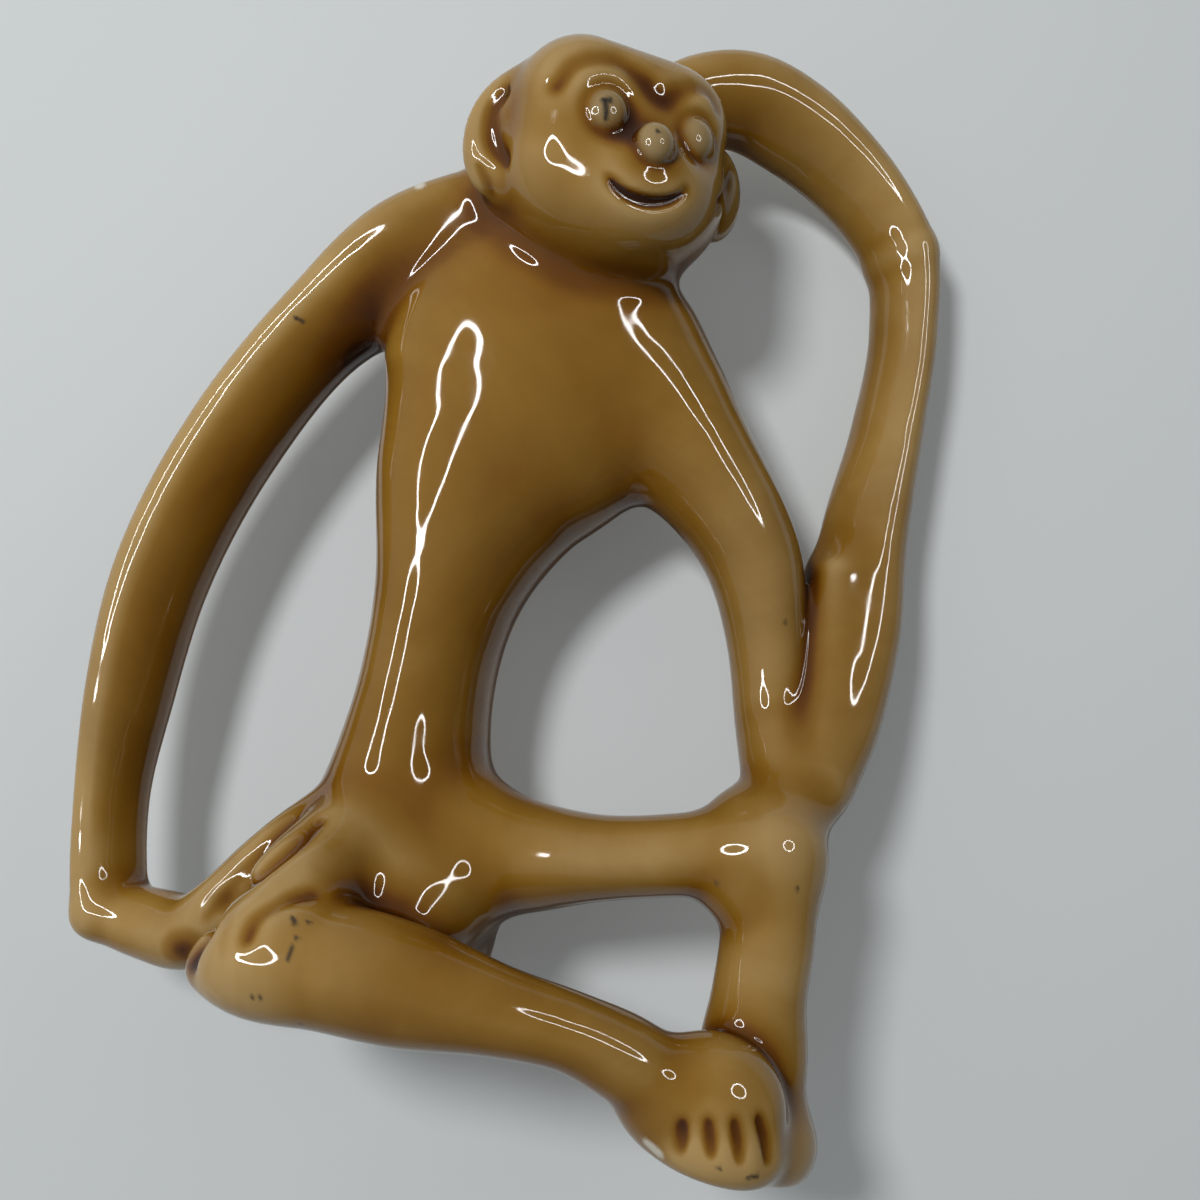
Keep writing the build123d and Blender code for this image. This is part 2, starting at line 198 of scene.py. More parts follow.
# Head, with its forms on its own axes: x to its left, y to its back, z to its crown
HEAD = np.array([-5.1, -2.0, 161.4])
HEAD_NOD, HEAD_TILT, HEAD_TWIST = 7, 7, 26  # degrees
SKULL, SKULL_ROUNDING = ((-1.4, 1.5, 1.8), (19.9, 18.2, 17.0)), 12.0
SKULL_SPAN = 1.3  # how far its corners reach, by its largest half size
CHEEKS = (0.6, -1.2, -6.0), (19.6, 19.6, 15.6)
MUZZLE = (0.5, -11.5, -8.0), (12.5, 10.0, 9.5)
HEAD_FORMS_BLEND = 4.0
RIGHT_EAR = (-20.6, 1.5, 0.4), (7.0, 3.8, 11.0)
LEFT_EAR = (13.6, 5.0, 164.6), (7.0, 3.8, 9.0)  # its centre is a place on the figure
EAR_TILT, EAR_TWIST = 8, 20  # degrees

# Picture: its width and focal length in pixels, and where the camera stands
PICTURE, FOCAL = 1200, 1250
STAND = np.array([20.1, -222.5, 66.0])
LOOK_UP, ROLL = 5.0, 16.0  # degrees
SENSOR = 36.0  # millimetres
CLIP_START = 0.01  # metres

# The walk from the camera to the skin: start, count of steps, share of the distance left, and least and
# greatest step
WALK_START, WALK_STEPS, WALK_SHARE, WALK_BACK, WALK_ON = 160.0, 180, 0.6, -1.0, 1.5
SLOPE_STEP = 1.2

# Grooves: picture x and y with half width; how deep they are sunk; how far their edges are rounded
RIGHT_EAR_FOLD = [
    (503, 90, 0.9), (491, 104, 1.6), (488, 124, 2.0), (494, 146, 1.6), (504, 160, 0.9),
], 1.6, 2.0
RIGHT_LOBE = [(477, 166, 0.7), (483, 180, 1.1), (489, 195, 0.8)], 1.0, 1.2
LEFT_EAR_FOLD = [(733, 168, 0.7), (727, 184, 1.0), (719, 204, 0.8)], 0.9, 1.0
HAIRLINE = [
    (556, 84, 0.8), (574, 62, 1.4), (600, 55, 1.6), (622, 60, 1.6), (642, 76, 1.7), (656, 92, 1.8),
    (667, 98, 1.8), (680, 92, 1.5), (698, 85, 1.3), (712, 92, 1.0), (720, 108, 0.7),
], 0.8, 2.6
SMILE = [
    (607, 175, 0.4), (618, 189, 0.75), (633, 198, 1.0), (651, 203, 1.1), (671, 201, 0.85), (688, 191, 0.4),
], 1.5, 1.0
HIP_GROOVES = [
    ([
        (191, 964, 0.9), (205, 934, 1.5), (224, 903, 1.7), (258, 873, 1.5), (296, 842, 1.2), (318, 820, 0.6),
    ], 1.4, 2.2),
    ([(206, 918, 0.6), (241, 874, 0.9), (276, 838, 0.9), (296, 820, 0.5)], 0.6, 1.4),
    ([(246, 938, 0.6), (256, 916, 1.1), (276, 902, 1.4), (312, 893, 0.7)], 0.9, 2.0),
]
TOES = [
    [(682, 1124), (681, 1138), (679, 1150)],
    [(708, 1122), (710, 1140), (711, 1156)],
    [(735, 1122), (739, 1144), (741, 1162)],
    [(760, 1118), (767, 1140), (770, 1162)],
]
TOE_WIDTHS, TOE_SINK, TOE_EDGE = (0.7, 1.1, 0.8), 1.3, 1.0

# Pellets and the beds pressed for them: picture places, how far out their middles lie, half sizes and how far
# their edges are rounded
EYES = {"right_eye": (609, 109), "left_eye": (700, 138)}
NOSE = (655, 144)
EYE_BED_OUT, EYE_BED, EYE_BED_EDGE = 4.2, (7.0, 5.4, 7.2), 2.0
EYE_OUT, EYE = -1.3, (3.8, 2.9, 4.0)
NOSE_BED_OUT, NOSE_BED, NOSE_BED_EDGE = 2.6, (5.0, 3.6, 5.4), 1.4
NOSE_OUT, NOSE_SIZES = 0.0, (3.4, 3.2, 3.9)

# Finish of the skin: rounding at the ground, kept range of distances, blurs, and how far apart slopes are
# read
GROUND_EDGE = 1.6
KEPT_RANGE = 12.0
SKIN_BLUR, EVEN_BLUR, FINE_BLUR, BROAD_BLUR = 0.45, 0.8, 1.3, 3.6
NORMAL_STEP = 0.8
CRISP_MARKS, CRISP_RADIUS = [(622, 190), (651, 200), (680, 195)], 6.5  # along the smile

# How thick the glaze lies: share, least and most that it thins over small and broad forms; painted shade on
# the sides
POOL_MEAN = 0.40
POOL_FINE, POOL_BROAD = (0.90, -0.26, 0.30), (0.16, -0.14, 0.30)
PAINTED_SIDE_SHADE = 0.20
# Lines drawn on the picture, how much darker or lighter the glaze is made there, and how far around them
POOLED_AND_PAINTED_LIGHT = {
    "wrist and armpit": ([[(182, 950), (190, 966)], [(362, 356)]], 0.75, 4.5),
    "smile": ([[(612, 182), (622, 191), (636, 199), (652, 203), (672, 200), (684, 193)]], 0.38, 2.2),
    # Darker beside and under the nose and between the brows
    "nose and brow": ([
        [(627, 118), (633, 140), (641, 160), (656, 170), (668, 166)], [(648, 82), (664, 96)],
    ], 0.28, 5.0),
    # Painted shade in the lap, where the shin passes in front of the belly
    "painted shade in the lap": ([[(320, 872), (400, 905)], [(440, 940), (500, 955)]], 0.20, 8.0),
    "right foot": ([[(520, 1000), (640, 1050), (740, 1100)]], 0.14, 16.0),
    "eyes": ([[place] for place in EYES.values()], 0.12, 6.0),
    # Painted shade where the left hand meets the head
    "painted shade by the left hand beside the head": ([[(738, 105), (748, 140)]], 0.18, 12.0),
    "tips of the toes": ([[(672, 1158), (700, 1168), (730, 1174), (756, 1168)]], -0.18, 5.0),
    "right shin": ([[(400, 975), (520, 1000)]], 0.12, 14.0),
    # Painted highlight: lighter glaze on the hip crest and on the top and underside of the right knee
    "painted highlight on the hip and right knee": ([
        [(335, 808), (372, 826), (395, 860)], [(268, 892), (300, 872)], [(212, 990), (262, 1012)],
    ], -0.25, 7.0),
}
# Painted shade on the undersides of the legs
UNDERSIDE_SHADE, UNDERSIDE_TOP, UNDERSIDE_FADE = 0.25, 55.0, 10.0  # legs, up to this height
# Painted shade on the right arm's inner side, which faces the body
INNER_SIDE_SHADE, INNER_TURN, INNER_TURN_FADE = 0.22, 0.05, 0.35  # of the right arm, by how far it faces the body
INNER_EDGE, INNER_EDGE_FADE, INNER_LOW, INNER_LOW_FADE = -34.0, 8.0, 14.0, 10.0
# Worn and sooty marks: lines or spots on the picture, how strong, how far around them, and the most that they
# cover
WORN = [[(648, 1144), (658, 1153)], [(408, 187), (420, 186)]], 2.0, 1.3, 1.0
FACE_MARKS = [[(603, 100), (611, 100)], [(606, 100), (606, 118)], [(658, 131)]], 1.6, 0.7, 1.0
SPECKS = [
    [(293, 918), (295, 924)], [(309, 922)], [(297, 938)], [(292, 948), (288, 958)], [(252, 997)],
    [(260, 998)], [(300, 1024)], [(296, 318), (303, 322)], [(785, 622)], [(797, 889)], [(717, 884)],
    [(719, 1168)], [(748, 1178), (757, 1176)],
], 1.5, 0.55, 0.9

# Glaze colours, from where it is thin to where it has pooled or where shade is painted in
HONEY = [
    (0.05, (0.33, 0.215, 0.08)), (0.22, (0.26, 0.15, 0.036)), (0.34, (0.215, 0.112, 0.016)),
    (0.50, (0.178, 0.080, 0.0065)), (0.66, (0.11, 0.038, 0.002)), (0.84, (0.052, 0.015, 0.0012)),
    (1.00, (0.024, 0.006, 0.0008)),
]
PALE = [(0.00, (0.26, 0.185, 0.085)), (0.35, (0.20, 0.118, 0.035)), (0.70, (0.07, 0.025, 0.003))]
CLOUDS = [(0.35, (0.84, 0.80, 0.76)), (0.65, (1.10, 1.10, 1.10))]
SPECK_COLOUR, WORN_COLOUR, SOOT_COLOUR = (0.035, 0.018, 0.008), (0.50, 0.46, 0.38), (0.020, 0.016, 0.014)
# Noises: scale per metre, detail, roughness and distortion
NOISE_MEAN = 0.5
DRIFT_NOISE, DRIFT = (45.0, 4.0, 0.55, 0.6), 0.30
CLOUD_NOISE = 16.0, 5.0, 0.6, 0.8
GLOSS_NOISE, GLOSS_FROM, GLOSS_TO = (220.0, 3.0, 0.5, 0.0), (0.3, 0.7), (0.03, 0.08)
WAVE_NOISE, WAVE_STRENGTH, WAVE_HEIGHT = (70.0, 1.0, 0.4, 0.4), 0.35, 0.0012
SPECK_SCALE, SPECK_RADIUS, SPECK_CHANCE = 95.0, 0.030, 0.90
GLAZE_IOR = 1.46

# Stage, in metres
CLOTH, CLOTH_ROUGHNESS, CLOTH_LIFT = (0.53, 0.555, 0.56), 0.9, 0.18
WALL_Y, WALL_SIDE, WALL_LOW, WALL_HIGH = 0.0355, 1.2, -0.8, 1.2
MIDDLE = Vector((0.0, 0.0, 0.1))
# Lamps: degrees to the figure's left and upwards, distance from its middle, size and watts
LAMPS = {
    "key": (-25, 10, 0.75, 0.16, 4.8),
    "fill": (42, 30, 0.90, 0.50, 0.6),
    "rear": (165, 35, 0.90, 0.60, 2.0),
}
# Ring lamps: degrees to the figure's left and upwards, distance, radius, width of the band and strength
RINGS = {
    "ring_left": (-36, 2, 0.60, 0.16, 0.022, 40.0),
    "ring_right": (38, 26, 0.70, 0.13, 0.018, 30.0),
}
RING_STEP = 5  # degrees
ROOM, ROOM_RIGHT, ROOM_LEFT = (0.96, 1.0, 1.0), 0.44, 0.05  # light from the figure's right and left
ROOM_SEEN = (0.46, 0.485, 0.49)

grid = [np.arange(LOW[i], HIGH[i], VOXEL, dtype=np.float32) for i in range(3)]
SHAPE = tuple(len(g) for g in grid)
skin = np.full(SHAPE, FAR, np.float32)
nearest = np.full(SHAPE, FAR, np.float32)
owner = np.full(SHAPE, -1, np.int8)


def unit(ways):
    """Rows of vectors brought to length one."""
    return ways / np.maximum(np.linalg.norm(ways, axis=1), TINY)[:, None]


def window(low, high):
    """The part of the grid between two corners: its slices and its coordinates, ready to broadcast."""
    spans = []
    for i in range(3):
        a = max(int((low[i] - LOW[i]) / VOXEL), 0)
        b = min(int((high[i] - LOW[i]) / VOXEL) + 2, SHAPE[i])
        spans.append(slice(a, b))
    x, y, z = (grid[i][spans[i]] for i in range(3))
    return tuple(spans), (x[:, None, None], y[None, :, None], z[None, None, :])


def smooth_min(a, b, k):
    """The lesser of two fields, rounded over where they differ by less than k."""
    h = np.maximum(k - np.abs(a - b), 0.0)
    return np.minimum(a, b) - h * h / (4.0 * k)


def smooth_max(a, b, k):
    return -smooth_min(-a, -b, k)


def along(rows, step=LIMB_STEP):
    """Points on a smooth curve through the rows, with the sizes carried along."""
    p = np.array(rows, float)
    t = np.concatenate([[0.0], np.cumsum(np.linalg.norm(np.diff(p[:, :3], axis=0), axis=1))])
    slope = np.gradient(p, t, axis=0)
    s = np.linspace(0.0, t[-1], max(int(t[-1] / step), 2) + 1)
    i = np.clip(np.searchsorted(t, s, side="right") - 1, 0, len(t) - 2)
    span = (t[i + 1] - t[i])[:, None]
    u = ((s - t[i]) / (t[i + 1] - t[i]))[:, None]
    return (
        (2 * u**3 - 3 * u**2 + 1) * p[i] + (u**3 - 2 * u**2 + u) * span * slope[i]
        + (-2 * u**3 + 3 * u**2) * p[i + 1] + (u**3 - u**2) * span * slope[i + 1]
    )


def oval_distance(u, v, t, a, b, c):
    """About how far a point is from an ellipsoid with these half sizes."""
    k0 = np.sqrt((u / a) ** 2 + (v / b) ** 2 + (t / c) ** 2)
    k1 = np.sqrt((u / a**2) ** 2 + (v / b**2) ** 2 + (t / c**2) ** 2)
    return k0 * (k0 - 1.0) / np.maximum(k1, CORE)


def tube(points, facing=BACKWARD, end=ROUND_END, lean=0.0):
    """Distance field of a limb along points, in the window that it reaches."""
    p = np.asarray(points, float)
    big = p[:, 3:].max() + REACH
    spans, _ = window((p[:, :3] - big).min(0), (p[:, :3] + big).max(0))
    field = np.full(tuple(s.stop - s.start for s in spans), FAR, np.float32)
    for p0, p1 in zip(p[:-1], p[1:]):
        way = p1[:3] - p0[:3]
        length = np.linalg.norm(way)
        way = way / length
        across = np.cross(facing, way)
        across /= np.linalg.norm(across)
        deep = np.cross(way, across)
        size = max(p0[3:].max(), p1[3:].max()) + REACH
        part, (x, y, z) = window(np.minimum(p0, p1)[:3] - size, np.maximum(p0, p1)[:3] + size)
        x, y, z = x - p0[0], y - p0[1], z - p0[2]
        t = x * way[0] + y * way[1] + z * way[2]
        h = np.clip(t / length, 0.0, 1.0)
        a = p0[3] + (p1[3] - p0[3]) * h
        b = p0[4] + (p1[4] - p0[4]) * h
        u = x * across[0] + y * across[1] + z * across[2]
        v = x * deep[0] + y * deep[1] + z * deep[2]
        u = u + lean * v
        a = np.sqrt(a * a - (lean * b) ** 2)
        d = oval_distance(u, v, t - h * length, a, b, np.minimum(a, b) * end)
        inner = tuple(slice(q.start - s.start, q.stop - s.start) for q, s in zip(part, spans))
        np.minimum(field[inner], d, out=field[inner])
    return spans, field


def ball(centre, sizes, turn=np.eye(3)):
    """Distance field of an ellipsoid whose own axes are the columns of turn."""
    centre = np.asarray(centre, float)
    size = max(sizes) + REACH
    spans, (x, y, z) = window(centre - size, centre + size)
    x, y, z = x - centre[0], y - centre[1], z - centre[2]
    u, v, t = (x * turn[0, i] + y * turn[1, i] + z * turn[2, i] for i in range(3))
    return spans, oval_distance(u, v, t, *sizes)


def block(centre, half, rounding, turn):
    """Distance field of a box with well rounded corners."""
    size = max(half) * SKULL_SPAN + REACH
    spans, (x, y, z) = window(centre - size, centre + size)
    x, y, z = x - centre[0], y - centre[1], z - centre[2]
    q = [np.abs(x * turn[0, i] + y * turn[1, i] + z * turn[2, i]) - (half[i] - rounding) for i in range(3)]
    out = np.sqrt(sum(np.maximum(w, 0.0) ** 2 for w in q))
    return spans, out + np.minimum(np.maximum(np.maximum(q[0], q[1]), q[2]), 0.0) - rounding


def merge(fields, k):
    """Several fields blended into one, in the window that holds them all."""
    low = [min(f[0][i].start for f in fields) for i in range(3)]
    high = [max(f[0][i].stop for f in fields) for i in range(3)]
    whole = np.full([b - a for a, b in zip(low, high)], FAR, np.float32)
    for spans, d in fields:
        inner = tuple(slice(s.start - a, s.stop - a) for s, a in zip(spans, low))
        whole[inner] = smooth_min(whole[inner], d, k)
    return tuple(slice(a, b) for a, b in zip(low, high)), whole


def lay(name, field, k=None):
    """Adds a cast to the skin, blended into what is there, and claims the places that it is nearest to."""
    spans, d = field
    skin[spans] = smooth_min(skin[spans], d, k or BLEND[name])
    near = d < nearest[spans]
    owner[spans][near] = NAMES.index(name)
    nearest[spans][near] = d[near]


def limb(name, **shape):
    """Lays the cast that runs through a piece's rows."""
    lay(name, tube(along(ROWS[name]), lean=LEAN.get(name, 0.0), **shape))


def press(field, k):
    """Presses a form into the skin."""
    spans, d = field
    skin[spans] = smooth_max(skin[spans], -d, k)


def sampled(field, places):
    """Values of a field at points, between the voxels around them."""
    q = np.clip((places - LOW) / VOXEL, 0.0, np.array(SHAPE) - INSET)
    i = q.astype(int)
    f = (q - i).astype(np.float32)
    total = 0.0
    for dx in (0, 1):
        for dy in (0, 1):
            for dz in (0, 1):
                w = (f[:, 0] if dx else 1 - f[:, 0]) * (f[:, 1] if dy else 1 - f[:, 1])
                w = w * (f[:, 2] if dz else 1 - f[:, 2])
                total = total + w * field[i[:, 0] + dx, i[:, 1] + dy, i[:, 2] + dz]
    return total


def slope_at(field, places, step):
    """Which way a field rises at points."""
    steps = np.eye(3) * step
    return np.stack([sampled(field, places + e) - sampled(field, places - e) for e in steps], axis=1)


def blurred(field, sigma):
    """Gaussian blur along the three axes."""
    n = max(int(3 * sigma / VOXEL), 1)
    w = np.exp(-0.5 * (np.arange(-n, n + 1) * VOXEL / sigma) ** 2)
    w = (w / w.sum()).astype(np.float32)
    for axis in range(3):
        padded = np.pad(field, [(n, n) if i == axis else (0, 0) for i in range(3)], mode="edge")
        field = sum(w[i] * np.take(padded, np.arange(i, i + SHAPE[axis]), axis) for i in range(2 * n + 1))
    return field


def view_axes(look_up, roll):
    """The figure's left, back and up, as rows, the way that the camera has them."""
    a, b = radians(look_up), radians(roll)
    back = np.array([0.0, -sin(a), -cos(a)])
    up = np.array([sin(b), cos(b), 0.0])
    up = up - back * up.dot(back)
    up /= np.linalg.norm(up)
    return np.array([np.cross(back, up), back, up])


VIEW = view_axes(LOOK_UP, ROLL)


def seen(places):
    """Points of the skin behind places in the picture, and the skin's slopes there."""
    uv = np.array(places, float)
    middle = PICTURE / 2
    across = (uv[:, 0] - middle) / FOCAL
    up = (middle - uv[:, 1]) / FOCAL
    way = unit(np.stack([across, up, -np.ones(len(uv))], axis=1) @ VIEW.T)
    far = np.full(len(uv), WALK_START)
    for _ in range(WALK_STEPS):
        far += np.clip(WALK_SHARE * sampled(skin, STAND + way * far[:, None]), WALK_BACK, WALK_ON)
    at = STAND + way * far[:, None]
    return at, unit(slope_at(skin, at, SLOPE_STEP))


def groove(rows, sink, edge):
    """Presses a line that is drawn on the picture into the skin."""
    drawn = np.array(rows, float)
    at, slope = seen(drawn[:, :2])
    w = drawn[:, 2:]
    points = along(np.hstack([at + slope * (w - sink), w, w]), GROOVE_STEP)
    press(tube(points, facing=ALMOST_BACKWARD, end=GROOVE_END), edge)


def turned(nod, tilt, twist):
    """Axes turned by degrees about x, y and z."""
    a, b, c = radians(nod), radians(-tilt), radians(twist)
    rx = np.array([[1, 0, 0], [0, cos(a), -sin(a)], [0, sin(a), cos(a)]])
    ry = np.array([[cos(b), 0, sin(b)], [0, 1, 0], [-sin(b), 0, cos(b)]])
    rz = np.array([[cos(c), -sin(c), 0], [sin(c), cos(c), 0], [0, 0, 1]])
    return rx @ ry @ rz


HEAD_TURN = turned(HEAD_NOD, HEAD_TILT, HEAD_TWIST)


def on_head(place):
    return HEAD + HEAD_TURN @ np.array(place)


def on_face(bed, out, sizes):
    """A ball on the face, its second axis square to the skin and its third as upright as it goes."""
    at, slope = bed[0][0], bed[1][0]
    side = np.cross(slope, HEAD_TURN[:, 2])
    side /= np.linalg.norm(side)
    return ball(at + slope * out, sizes, np.stack([side, slope, np.cross(side, slope)], axis=1))


# Casts, from the body outwards
limb("torso", end=SEAT_END)
limb("right_arm")
limb("left_upper_arm")
limb("left_thigh")
limb("right_thigh", facing=UPWARD)
limb("right_shin")
limb("right_hand")
lay("torso", ball(*LAP), LAP_BLEND)
limb("left_shin")
lay("left_thigh", ball(*KNEE_TOP), KNEE_TOP_BLEND)
lay("left_thigh", ball(*KNEE_FOLD), KNEE_FOLD_BLEND)
lay("left_foot", ball(*LEFT_FOOT))
lay("right_foot", merge([ball(*RIGHT_INSTEP), ball(*RIGHT_TOES), ball(*RIGHT_ANKLE)], RIGHT_FOOT_BLEND))
# The left forearm and hand follow one curve, parted at the wrist
lower = along(ROWS["left_forearm"] + ROWS["left_hand"])
wrist = int(np.argmin(np.linalg.norm(lower[:, :3] - ROWS["left_forearm"][-1][:3], axis=1)))
forearm = tube(lower[: wrist + 1], lean=LEAN["left_forearm"])
lay("left_forearm", merge([forearm, tube(along(ELBOW_WEB))], ELBOW_WEB_BLEND))
lay("left_hand", tube(lower[wrist:], lean=LEAN["left_hand"]))
lay("head", merge([
    block(on_head(SKULL[0]), SKULL[1], SKULL_ROUNDING, HEAD_TURN),
    ball(on_head(CHEEKS[0]), CHEEKS[1], HEAD_TURN),
    ball(on_head(MUZZLE[0]), MUZZLE[1], HEAD_TURN),
], HEAD_FORMS_BLEND))

# Ears: leaves that lie against the head, folded in
lay("right_ear", ball(on_head(RIGHT_EAR[0]), RIGHT_EAR[1], HEAD_TURN @ turned(0, -EAR_TILT, -EAR_TWIST)))
lay("left_ear", ball(LEFT_EAR[0], LEFT_EAR[1], HEAD_TURN @ turned(0, EAR_TILT, EAR_TWIST)))
groove(*RIGHT_EAR_FOLD)
groove(*RIGHT_LOBE)
groove(*LEFT_EAR_FOLD)

# Face: hairline, sockets and smile, then the pellets
groove(*HAIRLINE)
beds = {name: seen([place]) for name, place in EYES.items()}
for bed in beds.values():
    press(on_face(bed, EYE_BED_OUT, EYE_BED), EYE_BED_EDGE)
groove(*SMILE)
nose_bed = seen([NOSE])
press(on_face(nose_bed, NOSE_BED_OUT, NOSE_BED), NOSE_BED_EDGE)
for name, bed in beds.items():
    lay(name, on_face(bed, EYE_OUT, EYE))
lay("nose", on_face(nose_bed, NOSE_OUT, NOSE_SIZES))

# Fingers laid along the hip, and the toes
for cut in HIP_GROOVES:
    groove(*cut)
for toe in TOES:
    groove([(*place, width) for place, width in zip(toe, TOE_WIDTHS)], TOE_SINK, TOE_EDGE)

# The ground takes the underside flat
skin = smooth_max(skin, np.broadcast_to(-grid[2][None, None, :], SHAPE), GROUND_EDGE)
skin = blurred(np.clip(skin, -KEPT_RANGE, KEPT_RANGE), SKIN_BLUR)

volume = openvdb.FloatGrid(FAR)
volume.copyFromArray(skin)
spots, quads = volume.convertToQuads(isovalue=0.0)
spots = LOW + VOXEL * np.asarray(spots, float)
quads = np.asarray(quads, int)

# Normals: evened out, but for the small features of the face
slopes = slope_at(blurred(skin, EVEN_BLUR), spots, NORMAL_STEP)
features = np.vstack([*(at for at, _ in beds.values()), nose_bed[0], seen(CRISP_MARKS)[0]])
crisp = (np.linalg.norm(spots[:, None] - features, axis=2) < CRISP_RADIUS).any(axis=1)
slopes[crisp] = slope_at(skin, spots[crisp], NORMAL_STEP)
normals = unit(slopes)
corner = spots[quads]
winding = np.cross(corner[:, 2] - corner[:, 0], corner[:, 3] - corner[:, 1])
if (winding * normals[quads[:, 0]]).sum() < 0:
    quads = quads[:, ::-1]

# Each face belongs to the cast that is nearest just under it
below = corner.mean(1) - normals[quads[:, 0]] * VOXEL
index = np.clip(((below - LOW) / VOXEL).round().astype(int), 0, np.array(SHAPE) - 1)
face_owner = owner[tuple(index.T)]


def near(lines, radius):
    """How close the skin lies to lines drawn on the picture: one on them, zero a radius away."""
    close = np.full(len(spots), np.inf)
    for places in lines:
        at = seen(places)[0]
        for a, b in zip(at[:-1], at[1:]) if len(at) > 1 else [(at[0], at[0])]:
            h = np.clip((spots - a) @ (b - a) / max((b - a) @ (b - a), TINY), 0.0, 1.0)
            close = np.minimum(close, np.linalg.norm(spots - a - h[:, None] * (b - a), axis=1))
    return np.clip(1.0 - close / radius, 0.0, 1.0)


def marked(lines, strength, radius, most):
    return np.clip(strength * near(lines, radius), 0.0, most)


def thinned(sigma, share, least, most):
    """How much the glaze thins over what stands out at one scale; below zero it pools in what lies in."""
    return np.clip(share * sampled(blurred(skin, sigma), spots), least, most)


def glaze_depth_and_painted_light():
    """How thick the glaze lies on each spot, from zero to one, with painted shade and a painted highlight
    worked in.
    """
    pool_and_painted_light = POOL_MEAN - thinned(FINE_BLUR, *POOL_FINE) - thinned(BROAD_BLUR, *POOL_BROAD)
    # Painted shade: the sides of the forms that turn across the front view are darkened
    pool_and_painted_light += PAINTED_SIDE_SHADE * (1.0 - np.abs(normals[:, 1])) ** 2
    # Lines drawn on the picture: pooled glaze, painted shade and a painted highlight
    for lines, amount, radius in POOLED_AND_PAINTED_LIGHT.values():
        pool_and_painted_light += amount * near(lines, radius)
    # Painted shade on the undersides of the legs, below a height
    low = np.clip((UNDERSIDE_TOP - spots[:, 2]) / UNDERSIDE_FADE, 0.0, 1.0)
    pool_and_painted_light += UNDERSIDE_SHADE * np.clip(-normals[:, 2], 0.0, 1.0) * low
    # Painted shade on the inner side of the right arm
    inner = np.clip((normals[:, 0] - INNER_TURN) / INNER_TURN_FADE, 0.0, 1.0)
    inner = inner * np.clip((INNER_EDGE - spots[:, 0]) / INNER_EDGE_FADE, 0.0, 1.0)
    pool_and_painted_light += INNER_SIDE_SHADE * inner * np.clip((spots[:, 2] - INNER_LOW) / INNER_LOW_FADE, 0.0, 1.0)
    return np.clip(pool_and_painted_light, 0.0, 1.0)


SURFACE = {"pool_and_painted_light": glaze_depth_and_painted_light(), "worn": marked(*WORN), "soot": marked(*FACE_MARKS) + marked(*SPECKS)}


def add(tree, kind, values=None, **settings):
    """A new node with these settings; its sockets take numbers, colours or the outputs of other nodes."""
    made = tree.nodes.new(kind)
    for key, value in settings.items():
        setattr(made, key, value)
    for key, value in (values or {}).items():
        if isinstance(value, bpy.types.NodeSocket):
            tree.links.new(value, made.inputs[key])
        else:
            made.inputs[key].default_value = value
    return made


def opaque(colour):
    return (*colour, 1.0)


def glaze(name, stops):
    """Glaze over a buff body, lighter where it is thin and darker where it has pooled or where shade is
    painted in.
    """
    material = bpy.data.materials.new(name)
    material.use_nodes = True
    tree = material.node_tree
    place = add(tree, "ShaderNodeTexCoord").outputs["Object"]

    def noise(scale, detail, roughness, distortion):
        return add(tree, "ShaderNodeTexNoise", {
            "Vector": place, "Scale": scale, "Detail": detail,
            "Roughness": roughness, "Distortion": distortion,
        }).outputs["Fac"]

    def ramp(value, stops):
        made = add(tree, "ShaderNodeValToRGB", {0: value})
        band = made.color_ramp.elements
        while len(band) < len(stops):
            band.new(0.5)
        for element, (at, colour) in zip(band, stops):
            element.position = at
            element.color = opaque(colour)
        return made.outputs[0]

    def math(operation, a, b):
        return add(tree, "ShaderNodeMath", {0: a, 1: b}, operation=operation).outputs[0]

    def mix(factor, a, b, blend="MIX"):
        sockets = {0: factor, 6: a, 7: b}
        return add(tree, "ShaderNodeMix", sockets, data_type="RGBA", blend_type=blend).outputs[2]

    def attribute(name):
        return add(tree, "ShaderNodeAttribute", attribute_name=name).outputs["Fac"]

    drift = math("MULTIPLY", math("SUBTRACT", noise(*DRIFT_NOISE), NOISE_MEAN), DRIFT)
    # The pooled glaze, with the painted shade and painted highlight, picks the colour
    colour = ramp(math("ADD", attribute("pool_and_painted_light"), drift), stops)
    colour = mix(1.0, colour, ramp(noise(*CLOUD_NOISE), CLOUDS), "MULTIPLY")
    cells = add(tree, "ShaderNodeTexVoronoi", {"Vector": place, "Scale": SPECK_SCALE})
    chance = add(tree, "ShaderNodeTexWhiteNoise", {"Vector": cells.outputs["Position"]}).outputs["Value"]
    small = math("LESS_THAN", cells.outputs["Distance"], SPECK_RADIUS)
    speck = math("MULTIPLY", small, math("GREATER_THAN", chance, SPECK_CHANCE))
    colour = mix(speck, colour, opaque(SPECK_COLOUR))
    colour = mix(attribute("worn"), colour, opaque(WORN_COLOUR))
    colour = mix(attribute("soot"), colour, opaque(SOOT_COLOUR))
    gloss = {0: noise(*GLOSS_NOISE), 1: GLOSS_FROM[0], 2: GLOSS_FROM[1], 3: GLOSS_TO[0], 4: GLOSS_TO[1]}
    rough = add(tree, "ShaderNodeMapRange", gloss).outputs[0]
    wave = {"Strength": WAVE_STRENGTH, "Distance": WAVE_HEIGHT, "Height": noise(*WAVE_NOISE)}
    bump = add(tree, "ShaderNodeBump", wave).outputs[0]
    shader = tree.nodes["Principled BSDF"]
    shader.inputs["IOR"].default_value = GLAZE_IOR
    for socket, value in (("Base Color", colour), ("Roughness", rough), ("Normal", bump)):
        tree.links.new(value, shader.inputs[socket])
    return material


